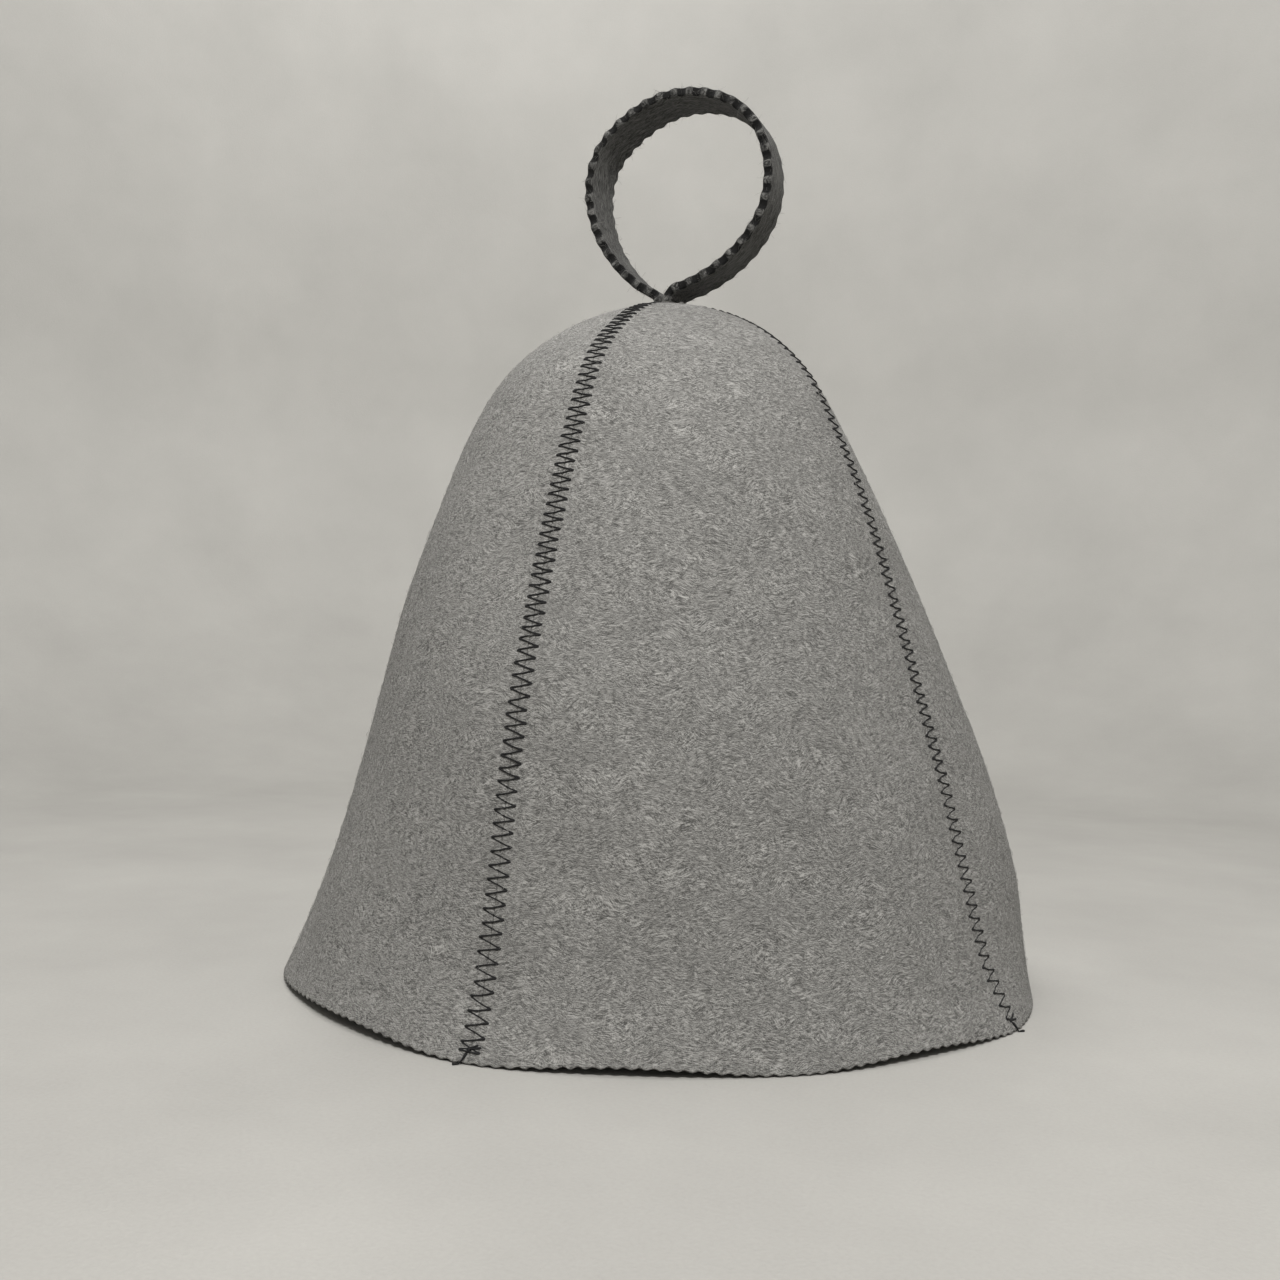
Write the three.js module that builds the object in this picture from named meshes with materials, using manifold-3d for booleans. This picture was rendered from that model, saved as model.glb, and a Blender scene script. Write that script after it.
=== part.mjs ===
// A felt sauna hat: four gores sewn edge to edge, and a hanging loop of the same felt.
// Millimetres, +Z up. The origin is the middle of the hem, on the surface the hat stands on.
// Bearings are seen from above, in degrees from -Y towards +X. The front seam is at bearing 0,
// and the ring of the loop is seen face on from there.

import * as THREE from 'three';
import { mergeVertices } from 'three/addons/utils/BufferGeometryUtils.js';
import Module from 'manifold-3d';

const wasm = await Module();
wasm.setup();

// Driving sizes of the crown
const feltThickness = 3;
const hemRadius = 120;
const domeHeight = 225;
const seamGap = 0.3;
const hemLift = 2;
const hemWavePitch = 5;
const hemWaveDepth = 0.7;

// Driving sizes of the hanging loop
const loopWidth = 64;
const loopHeight = 69;
const strapWidth = 14;
const strapWavePitch = 5.2;
const strapWaveDepth = 0.8;
const strapTail = 10;
const strapRise = 1.5;
const strapEndGap = 0.4;
const slotClearance = 0.3;

// How finely the curved felt is divided
const goreColumns = 14;
const rowsPerLevel = 2;

// Where the seams stand, as bearings. They are not quite square to each other, because the soft
// hat stands a little out of round.
const frontSeamAngle = 0;
const rightSeamAngle = 84;
const backSeamAngle = 176;
const leftSeamAngle = 268;

// Each seam's bearing, and the column of the table of levels that it follows
const seams = {
  front: { angle: frontSeamAngle, column: 'front' },
  right: { angle: rightSeamAngle, column: 'seam' },
  back: { angle: backSeamAngle, column: 'seam' },
  left: { angle: leftSeamAngle, column: 'seam' },
};

// Each gore, with the seams at its two sides and the number of places between them where its
// hem rises off the surface.
const gores = [
  { node: 'panel_front_right', middle: 'frontRight', from: 'front', to: 'right', hemRises: 2 },
  { node: 'panel_back_right', middle: 'backRight', from: 'right', to: 'back', hemRises: 1 },
  { node: 'panel_back_left', middle: 'backLeft', from: 'back', to: 'left', hemRises: 2 },
  { node: 'panel_front_left', middle: 'frontLeft', from: 'left', to: 'front', hemRises: 1 },
];

// A table with named columns, as one object for each row
function table(columns, rows) {
  return rows.map((row) => Object.fromEntries(columns.map((column, i) => [column, row[i]])));
}

// Levels from the hem to the crown. height is a share of domeHeight. The rest are shares of
// hemRadius: how far from the axis the front seam stands, then the other three seams, then the
// middle of each gore.
const levels = table(
  ['height', 'front', 'seam', 'frontRight', 'backRight', 'backLeft', 'frontLeft'],
  [
    [0, 0.97, 1.03, 0.945, 1.04, 1, 1],
    [0.08, 0.91, 0.95, 0.895, 1.04, 0.95, 0.94],
    [0.18, 0.87, 0.895, 0.85, 1.02, 0.9, 0.88],
    [0.3, 0.835, 0.835, 0.805, 0.95, 0.84, 0.82],
    [0.42, 0.79, 0.765, 0.755, 0.86, 0.78, 0.77],
    [0.55, 0.715, 0.69, 0.68, 0.75, 0.7, 0.71],
    [0.68, 0.63, 0.61, 0.6, 0.625, 0.61, 0.63],
    [0.79, 0.545, 0.525, 0.515, 0.505, 0.52, 0.55],
    [0.88, 0.45, 0.435, 0.415, 0.39, 0.42, 0.45],
    [0.945, 0.3, 0.31, 0.285, 0.27, 0.3, 0.305],
    [0.983, 0.16, 0.165, 0.155, 0.155, 0.155, 0.15],
    [1, 0.015, 0.015, 0.015, 0.015, 0.015, 0.015],
  ],
);

// The ring of the loop from its left foot round to its right one. across is a share of
// loopWidth from the middle of the crown, up a share of loopHeight above the crown.
const ringPoints = table(
  ['across', 'up'],
  [
    [-0.15, 0.1],
    [-0.28, 0.22],
    [-0.385, 0.38],
    [-0.435, 0.6],
    [-0.39, 0.77],
    [-0.25, 0.905],
    [-0.05, 0.99],
    [0.155, 0.995],
    [0.36, 0.925],
    [0.5, 0.79],
    [0.565, 0.59],
    [0.54, 0.41],
    [0.445, 0.265],
    [0.305, 0.155],
    [0.165, 0.09],
    [0.05, 0.055],
  ],
);

// Where points lie along a wavy edge, in waves from its start: each wave has a flat tip that
// runs into the next one's, and a notch in its middle.
const tipEdgeShare = 0.25;
const notchMiddleShare = 0.5;

function waveSteps(waves) {
  const steps = [{ at: 0, notch: 0 }];
  for (let wave = 0; wave < waves; wave += 1) {
    steps.push({ at: wave + tipEdgeShare, notch: 0 });
    steps.push({ at: wave + notchMiddleShare, notch: 1 });
    steps.push({ at: wave + 1 - tipEdgeShare, notch: 0 });
  }
  steps.push({ at: waves, notch: 0 });
  return steps.map((step) => ({ share: step.at / waves, notch: step.notch }));
}

// A closed mesh from rows of points. Each skin is a list of rows, and a row may have more
// points than the next one.
class MeshMaker {
  constructor() {
    this.positions = [];
    this.triangles = [];
  }

  addRow(points) {
    return points.map(({ point, share }) => {
      this.positions.push(point.x, point.y, point.z);
      return { index: this.positions.length / 3 - 1, share };
    });
  }

  // Fills the band between two rows, always taking the shorter next step along them.
  addBand(lower, upper, outward) {
    let i = 0;
    let j = 0;
    while (i < lower.length - 1 || j < upper.length - 1) {
      const nextLower = i < lower.length - 1 ? lower[i + 1].share : Infinity;
      const nextUpper = j < upper.length - 1 ? upper[j + 1].share : Infinity;
      const corners = [lower[i].index, 0, upper[j].index];
      if (nextLower <= nextUpper) {
        i += 1;
        corners[1] = lower[i].index;
      } else {
        j += 1;
        corners[1] = upper[j].index;
      }
      this.triangles.push(...(outward ? corners : corners.reverse()));
    }
  }

  geometry() {
    const geometry = new THREE.BufferGeometry();
    geometry.setAttribute('position', new THREE.Float32BufferAttribute(this.positions, 3));
    geometry.setIndex(this.triangles);
    return geometry;
  }
}

// The outer and inner points of the felt at one place along a level curve, as radius and height.
// Along the hem the felt is cut level, and above it the thickness is square to the curve.
function feltPoints(curve, along) {
  const outer = curve.getPoint(along);
  const slope = curve.getTangent(along);
  const inward = new THREE.Vector2(-slope.y, slope.x);
  const inner = along === 0
    ? new THREE.Vector2(outer.x - feltThickness / slope.y, outer.y)
    : outer.clone().addScaledVector(inward, feltThickness);
  return { outer, inner };
}

function levelCurve(column) {
  const points = levels.map((level) =>
    new THREE.Vector2(level[column] * hemRadius, level.height * domeHeight));
  return new THREE.SplineCurve(points);
}

// One row across a gore that faces -Y: a circular arc in plan from seam to seam through the
// gore's middle, skewed where one seam stands further out than the other.
function goreRow(from, middle, to, halfSpan, shares) {
  const sideStep = seamGap / 2 * Math.cos(halfSpan);
  const outStep = seamGap / 2 * Math.sin(halfSpan);
  const left = { x: sideStep - from.x * Math.sin(halfSpan), out: from.x * Math.cos(halfSpan) + outStep };
  const right = { x: to.x * Math.sin(halfSpan) - sideStep, out: to.x * Math.cos(halfSpan) + outStep };
  const halfChord = (right.x - left.x) / 2;
  const rise = middle.x - (left.out + right.out) / 2;
  const radius = (halfChord ** 2 + rise ** 2) / (2 * rise);
  const halfArc = Math.atan2(halfChord, radius - rise);
  return shares.map((share) => {
    const side = 2 * share - 1;
    const x = radius * Math.sin(side * halfArc) + (left.x + right.x) / 2;
    const out = middle.x - radius + radius * Math.cos(side * halfArc) + side * (right.out - left.out) / 2;
    const seamHeight = from.y + (to.y - from.y) * share;
    const height = middle.y + (seamHeight - middle.y) * side ** 2;
    return { point: new THREE.Vector3(x, -out, height), share };
  });
}

function goreGeometry(gore, halfSpan) {
  const from = levelCurve(seams[gore.from].column);
  const middle = levelCurve(gore.middle);
  const to = levelCurve(seams[gore.to].column);
  const rowCount = (levels.length - 1) * rowsPerLevel;
  const evenShares = Array.from({ length: goreColumns + 1 }, (_, column) => column / goreColumns);
  const hemLength = 2 * halfSpan * hemRadius;
  const hemSteps = waveSteps(Math.round(hemLength / hemWavePitch));
  const maker = new MeshMaker();
  const skins = { outer: [], inner: [] };
  for (let row = 0; row <= rowCount; row += 1) {
    const along = row / rowCount;
    const points = [from, middle, to].map((curve) => feltPoints(curve, along));
    const shares = row === 0 ? hemSteps.map((step) => step.share) : evenShares;
    for (const skin of ['outer', 'inner']) {
      const rowPoints = goreRow(points[0][skin], points[1][skin], points[2][skin], halfSpan, shares);
      if (row === 0) {
        rowPoints.forEach((place, i) => {
          const rise = hemLift * Math.sin(gore.hemRises * Math.PI * place.share) ** 2;
          place.point.z += rise + hemWaveDepth * hemSteps[i].notch;
        });
      }
      skins[skin].push(maker.addRow(rowPoints));
    }
  }
  for (let row = 0; row < rowCount; row += 1) {
    maker.addBand(skins.outer[row], skins.outer[row + 1], true);
    maker.addBand(skins.inner[row], skins.inner[row + 1], false);
  }
  maker.addBand(skins.outer[0], skins.inner[0], false);
  maker.addBand(skins.outer[rowCount], skins.inner[rowCount], true);
  const edge = (skin, end) => skins[skin].map((places, row) => ({ index: places.at(end).index, share: row }));
  maker.addBand(edge('outer', 0), edge('inner', 0), true);
  maker.addBand(edge('outer', -1), edge('inner', -1), false);
  return maker.geometry();
}

// A closed mesh as a solid for cutting, and back
function toSolid(geometry) {
  const bare = geometry.clone();
  bare.deleteAttribute('normal');
  bare.deleteAttribute('uv');
  const merged = mergeVertices(bare);
  return new wasm.Manifold(new wasm.Mesh({
    numProp: 3,
    vertProperties: new Float32Array(merged.attributes.position.array),
    triVerts: new Uint32Array(merged.index.array),
  }));
}

function toGeometry(solid) {
  const mesh = solid.getMesh();
  const geometry = new THREE.BufferGeometry();
  geometry.setAttribute('position', new THREE.Float32BufferAttribute(mesh.vertProperties, 3));
  geometry.setIndex(Array.from(mesh.triVerts));
  return geometry;
}

// The slot at the crown that the two ends of the strap pass down through
function slotGeometry() {
  const width = 2 * (feltThickness + slotClearance) + strapEndGap;
  const slot = new THREE.BoxGeometry(width, strapWidth + 2 * slotClearance, domeHeight);
  slot.translate(0, 0, domeHeight);
  return slot;
}

function makeGore(gore) {
  const start = THREE.MathUtils.degToRad(seams[gore.from].angle);
  const turn = THREE.MathUtils.euclideanModulo(seams[gore.to].angle - seams[gore.from].angle, 360);
  const halfSpan = THREE.MathUtils.degToRad(turn) / 2;
  const facing = start + halfSpan;
  const slot = slotGeometry().rotateZ(-facing);
  const felt = toSolid(goreGeometry(gore, halfSpan)).subtract(toSolid(slot));
  const material = new THREE.MeshStandardMaterial({ color: 0x83837f, roughness: 1, metalness: 0 });
  const mesh = new THREE.Mesh(toGeometry(felt), material);
  mesh.name = gore.node;
  mesh.rotation.z = facing;
  return mesh;
}

// The middle line of the strap: up through the slot, round the ring, and down again beside
// its own start.
function strapPath() {
  const foot = (feltThickness + strapEndGap) / 2;
  const footHeights = [-strapTail, -strapTail / 2, strapRise];
  const points = [
    ...footHeights.map((height) => new THREE.Vector3(-foot, 0, height)),
    ...ringPoints.map(({ across, up }) => new THREE.Vector3(across * loopWidth, 0, up * loopHeight)),
    ...footHeights.reverse().map((height) => new THREE.Vector3(foot, 0, height)),
  ];
  return new THREE.CatmullRomCurve3(points);
}

function makeLoop() {
  const path = strapPath();
  const waves = Math.round(path.getLength() / strapWavePitch);
  const maker = new MeshMaker();
  const sides = [[], [], [], []];
  for (const { share, notch } of waveSteps(waves)) {
    const middle = path.getPointAt(share);
    const run = path.getTangentAt(share);
    const across = new THREE.Vector3(-run.z, 0, run.x).multiplyScalar(feltThickness / 2);
    const halfWidth = strapWidth / 2 - strapWaveDepth * notch;
    const corners = [[1, -1], [1, 1], [-1, 1], [-1, -1]];
    corners.forEach(([face, edge], side) => {
      const point = middle.clone().addScaledVector(across, face);
      point.y = edge * halfWidth;
      sides[side].push({ point, share });
    });
  }
  const rows = sides.map((side) => maker.addRow(side));
  rows.forEach((row, side) => maker.addBand(row, rows[(side + 1) % 4], true));
  for (const end of [0, -1]) {
    const corners = rows.map((row) => row.at(end).index);
    const edge = (first, second) => [{ index: first, share: 0 }, { index: second, share: 1 }];
    maker.addBand(edge(corners[0], corners[1]), edge(corners[3], corners[2]), end === 0);
  }
  const material = new THREE.MeshStandardMaterial({ color: 0x6b6b68, roughness: 1, metalness: 0 });
  const mesh = new THREE.Mesh(maker.geometry(), material);
  mesh.name = 'hanging_loop';
  mesh.position.z = domeHeight;
  return mesh;
}

const hat = new THREE.Group();
for (const gore of gores) {
  hat.add(makeGore(gore));
}
hat.add(makeLoop());

// The origin goes under the middle of the hat's own box, whatever the levels above say.
const box = new THREE.Box3().setFromObject(hat, true);
const middle = box.getCenter(new THREE.Vector3());
hat.position.set(-middle.x, -middle.y, -box.min.z);

export default hat;
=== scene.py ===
# %% [markdown]
# # A sauna hat of grey felt
# The hat is a bell of pressed felt: four pointed gores joined edge to edge by a wide zigzag
# stitch, and a strap of the same felt that stands up from the crown as a hanging loop. The packed
# model already holds every piece at its real size. This lesson loads that model as a fixed frame,
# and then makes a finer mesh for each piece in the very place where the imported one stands.

# %% Load the frame
import math
from collections import namedtuple

import bpy
import numpy as np
from mathutils import Matrix, Vector


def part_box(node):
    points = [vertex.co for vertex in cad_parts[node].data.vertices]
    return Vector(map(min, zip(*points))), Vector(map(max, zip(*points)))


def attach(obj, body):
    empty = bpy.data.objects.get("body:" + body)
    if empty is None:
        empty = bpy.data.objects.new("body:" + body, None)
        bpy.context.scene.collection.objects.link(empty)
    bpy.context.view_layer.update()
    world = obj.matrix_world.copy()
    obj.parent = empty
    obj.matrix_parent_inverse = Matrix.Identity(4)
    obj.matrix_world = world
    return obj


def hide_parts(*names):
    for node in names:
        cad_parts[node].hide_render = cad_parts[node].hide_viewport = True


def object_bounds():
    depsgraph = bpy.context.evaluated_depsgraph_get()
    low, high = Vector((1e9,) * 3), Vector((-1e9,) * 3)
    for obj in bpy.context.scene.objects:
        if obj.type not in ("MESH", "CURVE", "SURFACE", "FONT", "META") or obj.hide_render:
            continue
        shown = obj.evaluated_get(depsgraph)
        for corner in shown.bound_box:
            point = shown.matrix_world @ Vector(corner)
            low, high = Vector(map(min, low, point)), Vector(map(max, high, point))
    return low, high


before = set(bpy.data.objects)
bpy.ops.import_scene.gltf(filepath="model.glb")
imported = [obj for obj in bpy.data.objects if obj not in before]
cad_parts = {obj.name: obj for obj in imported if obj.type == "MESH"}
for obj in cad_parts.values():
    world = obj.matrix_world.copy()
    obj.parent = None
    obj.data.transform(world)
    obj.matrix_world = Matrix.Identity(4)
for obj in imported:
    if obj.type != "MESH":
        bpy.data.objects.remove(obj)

MM = 0.001
cad_low, cad_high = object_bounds()
print("packed box in mm:", [round(x / MM, 1) for x in (*cad_low, *cad_high)])

# %% [markdown]
# The gores are measured from the crown's own upright axis, which is not quite the middle of the
# packed box, because the soft hat stands a little out of round. The two ends of the strap stand
# on either side of that axis, so the middle of those ends gives it. Reading it from the frame is
# safer than typing it again.

# %% Find the crown's axis
strap_tail = 10 * MM
crown_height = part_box("panel_front_right")[1].z
strap_places = np.array([v.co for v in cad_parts["hanging_loop"].data.vertices])
tail_places = strap_places[strap_places[:, 2] < crown_height - strap_tail / 2]
crown_axis = Vector((*(tail_places.min(0) + tail_places.max(0))[:2] / 2, 0))
print("crown axis in mm:", [round(x / MM, 2) for x in crown_axis])
print("crown height in mm:", round(crown_height / MM, 1))

# %% [markdown]
# ## The camera
# The photograph was taken close up with a phone, so its perspective is strong: the near hem is
# drawn larger than the crown. The distance and height below come from setting the hem, the two
# seams and the outline against the photograph, and a lens as long as its sensor is wide gives the
# same opening angle. The camera is made first, because everything is judged from it.

# %% Make the camera
sensor_width = 36
camera_distance = 435 * MM
camera_height = 109.5 * MM
camera_sidestep = 6.8 * MM
camera_bearing = math.radians(24.6)
camera_rise = math.radians(0.2)
camera_roll = math.radians(1.6)

ahead = Vector((-math.sin(camera_bearing), math.cos(camera_bearing), 0))
rightward = Vector((math.cos(camera_bearing), math.sin(camera_bearing), 0))
view_line = (ahead * math.cos(camera_rise) + Vector((0, 0, math.sin(camera_rise)))).normalized()
upward = rightward.cross(view_line)
rolled_right = rightward * math.cos(camera_roll) + upward * math.sin(camera_roll)
rolled_up = upward * math.cos(camera_roll) - rightward * math.sin(camera_roll)

camera = bpy.data.objects.new("camera", bpy.data.cameras.new("camera"))
camera.data.sensor_width = sensor_width
camera.data.lens = sensor_width
camera.data.clip_start = 10 * MM
camera.matrix_world = Matrix((rolled_right, rolled_up, -view_line)).transposed().to_4x4()
camera.location = (
    crown_axis - ahead * camera_distance - rightward * camera_sidestep + Vector((0, 0, camera_height))
)
bpy.context.scene.collection.objects.link(camera)
bpy.context.scene.camera = camera
print("camera at", [round(x, 3) for x in camera.location])

# %% [markdown]
# ## Meshes from points
# Each piece could be drawn by hand with Blender's tools. Here the points follow from measured
# sizes, so a piece is worked out as arrays of points and faces, and becomes an object in one call.
# What a material must know at each point, such as how scorched the felt is, is kept on the mesh
# as an attribute.

# %% Helpers for meshes
def new_piece(name, places, faces, material=None):
    """A mesh object with smooth shading, from points in metres and faces of point numbers."""
    mesh = bpy.data.meshes.new(name)
    mesh.from_pydata(np.asarray(places).tolist(), [], faces)
    mesh.shade_smooth()
    piece = bpy.data.objects.new(name, mesh)
    bpy.context.scene.collection.objects.link(piece)
    if material:
        mesh.materials.append(material)
    return piece


def add_attribute(piece, name, kind, values):
    """Keeps one number (FLOAT) or one vector (FLOAT_VECTOR) for each point of a piece."""
    slot = piece.data.attributes.new(name, kind, "POINT")
    field = "value" if kind == "FLOAT" else "vector"
    slot.data.foreach_set(field, np.asarray(values, np.float32).ravel())


# %% [markdown]
# ## The set
# Product photographs of soft things are taken on a seamless sheet that sweeps up behind them, so
# that no line crosses the picture. Here the sheet is a wide shallow bowl: a flat round floor
# whose rim curves up on all sides, so the hat can be looked at from anywhere. It is one profile
# turned round the axis, which is quicker to make and smoother than a bent plane.

# %% Make the floor and its sweep
floor_radius = 0.55
sweep_radius = 0.4
wall_height = 1.3
sweep_steps = 24
round_steps = 128

profile = [(0.0, 0.0), (floor_radius / 2, 0.0), (floor_radius, 0.0)]
for step in range(1, sweep_steps + 1):
    angle = math.pi / 2 * step / sweep_steps
    radius = floor_radius + sweep_radius * math.sin(angle)
    profile.append((radius, sweep_radius * (1 - math.cos(angle))))
profile.append((floor_radius + sweep_radius, wall_height))

floor_places = [(0, 0, 0)]
for radius, height in profile[1:]:
    for step in range(round_steps):
        angle = 2 * math.pi * step / round_steps
        floor_places.append((radius * math.sin(angle), -radius * math.cos(angle), height))
floor_faces = [(0, 1 + step, 1 + (step + 1) % round_steps) for step in range(round_steps)]
for ring in range(len(profile) - 2):
    first = 1 + ring * round_steps
    for step in range(round_steps):
        beside = (step + 1) % round_steps
        floor_faces.append((first + step, first + round_steps + step,
                            first + round_steps + beside, first + beside))
floor = new_piece("floor", floor_places, floor_faces)
print("floor of", len(floor_faces), "faces")

# %% [markdown]
# ## Materials from small parts
# Nodes are easier to read when each is made and joined in one line. The helpers below make a node,
# set its values and link its inputs. A value may be a plain number or another node's output.

# %% Helpers for nodes
def set_input(tree, socket, value):
    """Links an output to a socket, or sets the socket's own value."""
    if isinstance(value, bpy.types.NodeSocket):
        tree.links.new(value, socket)
    elif value is not None:
        socket.default_value = value


def add_node(tree, kind, values=(), **settings):
    """One node. values are for its inputs, in order or by name, and settings for the node itself."""
    node = tree.nodes.new(kind)
    for key, value in settings.items():
        setattr(node, key, value)
    pairs = values.items() if isinstance(values, dict) else enumerate(values)
    for key, value in pairs:
        set_input(tree, node.inputs[key], value)
    return node


def calculate(tree, operation, *values, clamp=False):
    return add_node(tree, "ShaderNodeMath", values, operation=operation, use_clamp=clamp).outputs[0]


def vector_calculate(tree, operation, *values):
    return add_node(tree, "ShaderNodeVectorMath", values, operation=operation).outputs[0]


def scale_vector(tree, vector, factor):
    values = {"Vector": vector, "Scale": factor}
    return add_node(tree, "ShaderNodeVectorMath", values, operation="SCALE").outputs[0]


def noise(tree, vector, scale, detail=2.0, roughness=0.5):
    values = {"Vector": vector, "Scale": scale, "Detail": detail, "Roughness": roughness}
    return add_node(tree, "ShaderNodeTexNoise", values)


def mix_colours(tree, share, first, second):
    node = add_node(tree, "ShaderNodeMix", data_type="RGBA")
    set_input(tree, node.inputs["Factor"], share)
    set_input(tree, node.inputs[6], first)
    set_input(tree, node.inputs[7], second)
    return node.outputs[2]


def spread(tree, value, low, high):
    """Stretches a value so that low becomes 0 and high becomes 1."""
    values = {"Value": value, "From Min": low, "From Max": high}
    return add_node(tree, "ShaderNodeMapRange", values, clamp=True).outputs[0]


# %% [markdown]
# An effect that several materials use becomes a node group with named sockets, built once, so
# that each material can place it with its own values. The shader itself stays in the material,
# and its plain numbers are set on its own sockets, where an exported file can find them.

# %% Helpers for groups and materials
def new_group(name, inputs, outputs):
    """An empty node group with named sockets, and its two end nodes."""
    group = bpy.data.node_groups.new(name, "ShaderNodeTree")
    for socket_name, kind, value in inputs:
        socket = group.interface.new_socket(name=socket_name, in_out="INPUT", socket_type=kind)
        if value is not None:
            socket.default_value = value
    for socket_name, kind in outputs:
        group.interface.new_socket(name=socket_name, in_out="OUTPUT", socket_type=kind)
    return group, group.nodes.new("NodeGroupInput"), group.nodes.new("NodeGroupOutput")


def place_group(tree, group, **values):
    node = tree.nodes.new("ShaderNodeGroup")
    node.node_tree = group
    for key, value in values.items():
        set_input(tree, node.inputs[key], value)
    return node


def new_material(name, **numbers):
    """A material with a Principled shader, whose plain numbers are set on its own sockets."""
    material = bpy.data.materials.new(name)
    material.use_nodes = True
    shader = material.node_tree.nodes["Principled BSDF"]
    for key, value in numbers.items():
        shader.inputs[key.replace("_", " ")].default_value = value
    return material, material.node_tree, shader


def colour_and_bump(tree, shader, colour, height=None, strength=1.0, depth=MM):
    """Gives a shader its colour, and a bump as deep as depth where there is a height."""
    set_input(tree, shader.inputs["Base Color"], colour)
    if height is not None:
        values = {"Strength": strength, "Distance": depth, "Height": height}
        bump = add_node(tree, "ShaderNodeBump", values)
        set_input(tree, shader.inputs["Normal"], bump.outputs[0])


def read_attribute(tree, name, output="Fac"):
    return add_node(tree, "ShaderNodeAttribute", attribute_name=name).outputs[output]


# %% [markdown]
# ## Felt, seen closely
# Pressed felt has no weave. Its short fibres lie in every direction, some proud of the rest, and
# they catch the light as fine crooked strokes. A plain noise gives grains, not strokes, so each
# layer of the group stretches a noise several times along one direction. Four layers are laid
# across each other. The two that lie across the hat are the strongest, because most fibres lie
# that way after rolling, and a slow swirl bends them all. They are drawn in the felt's own flat
# coordinates, which each mesh carries in an attribute.

# %% Group: felt fibres
# All lengths in this cell are in millimetres.
STROKE_SIZE = (0.21, 1.9)  # width and length
STROKE_CONTRAST = 1.8
STROKE_LAYERS = ((78, 1.5), (112, 1.2), (145, 0.7), (25, 0.7))  # angle in degrees, and strength
HAIR_SIZE = (0.5, 3.2)
HAIR_WIDTH = 0.035  # as a share of the noise's range
HAIR_STRENGTH = 0.3
SWIRL_SIZE = 16.0
SWIRL_REACH = 10.0
PATCH_SCALES = (0.16, 0.035)  # per millimetre, for small and large patches
MEAN_HEIGHT = 0.42
THROUGH_SCALE = 0.3  # the strokes change slowly through the felt's thickness

felt_fibres, fibres_in, fibres_out = new_group(
    "felt_fibres",
    [("Place", "NodeSocketVector", None), ("Patchiness", "NodeSocketFloat", 1.0)],
    [("Tint", "NodeSocketFloat"), ("Height", "NodeSocketFloat")],
)
in_mm = scale_vector(felt_fibres, fibres_in.outputs["Place"], 1 / MM)
swirl = noise(felt_fibres, in_mm, 1 / SWIRL_SIZE, detail=2.0).outputs["Color"]
swirl = vector_calculate(felt_fibres, "SUBTRACT", swirl, (0.5, 0.5, 0.5))
bent = vector_calculate(felt_fibres, "ADD", in_mm, scale_vector(felt_fibres, swirl, SWIRL_REACH))


def drawn_out_noise(degrees, size, detail, roughness=0.5):
    """A noise stretched along one direction, so that its grains become strokes."""
    turned = add_node(felt_fibres, "ShaderNodeVectorRotate",
                      {"Vector": bent, "Angle": math.radians(degrees)}, rotation_type="Z_AXIS")
    scales = (1 / size[0], 1 / size[1], THROUGH_SCALE)
    drawn = vector_calculate(felt_fibres, "MULTIPLY", turned.outputs[0], scales)
    layer = noise(felt_fibres, drawn, 1.0, detail, roughness).outputs["Fac"]
    return calculate(felt_fibres, "SUBTRACT", layer, 0.5)


strokes, hairs = 0.0, 0.0
for degrees, strength in STROKE_LAYERS:
    layer = drawn_out_noise(degrees, STROKE_SIZE, detail=3.0, roughness=0.62)
    strokes = calculate(felt_fibres, "MULTIPLY_ADD", layer, strength, strokes)
for degrees, strength in STROKE_LAYERS[:2]:
    away = calculate(felt_fibres, "ABSOLUTE", drawn_out_noise(degrees, HAIR_SIZE, detail=0.0))
    hairs = calculate(felt_fibres, "ADD", hairs, spread(felt_fibres, away, HAIR_WIDTH, 0.0))
small_patch = noise(felt_fibres, in_mm, PATCH_SCALES[0], detail=1.0).outputs["Fac"]
large_patch = noise(felt_fibres, in_mm, PATCH_SCALES[1], detail=2.0).outputs["Fac"]
height = calculate(felt_fibres, "MULTIPLY_ADD", strokes, STROKE_CONTRAST, MEAN_HEIGHT)
height = calculate(felt_fibres, "MULTIPLY_ADD", hairs, HAIR_STRENGTH, height, clamp=True)
patches = calculate(felt_fibres, "ADD", small_patch, large_patch)
patches = calculate(felt_fibres, "MULTIPLY", calculate(felt_fibres, "SUBTRACT", patches, 1.0),
                    fibres_in.outputs["Patchiness"])
tint = calculate(felt_fibres, "ADD", height, patches, clamp=True)
set_input(felt_fibres, fibres_out.inputs["Tint"], tint)
set_input(felt_fibres, fibres_out.inputs["Height"], height)
print("felt_fibres has", len(felt_fibres.nodes), "nodes")

# %% [markdown]
# The wavy edges of the hem and the strap were cut hot, so their cut faces are scorched. Over the
# scorch, painted shade darkens them nearly black deep in each notch and less on the tips, and a
# painted shadow darkens the lowest rows of the hem where it meets the floor. Each mesh says how
# dark each point is drawn, and this group turns that into a colour with a broken, fibrous border.

# %% Group: scorched edge with painted shade
# near-black for the scorch of the cut faces and for the painted shade and shadow along the edges
SCORCH_AND_SHADE_COLOUR = (0.006, 0.006, 0.006, 1)
DARKENED_RANGE = (0.25, 0.65)
BREAK_STRENGTH = 0.3  # how far pale fibres break the scorched border
BREAK_MIDDLE = 0.14

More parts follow.
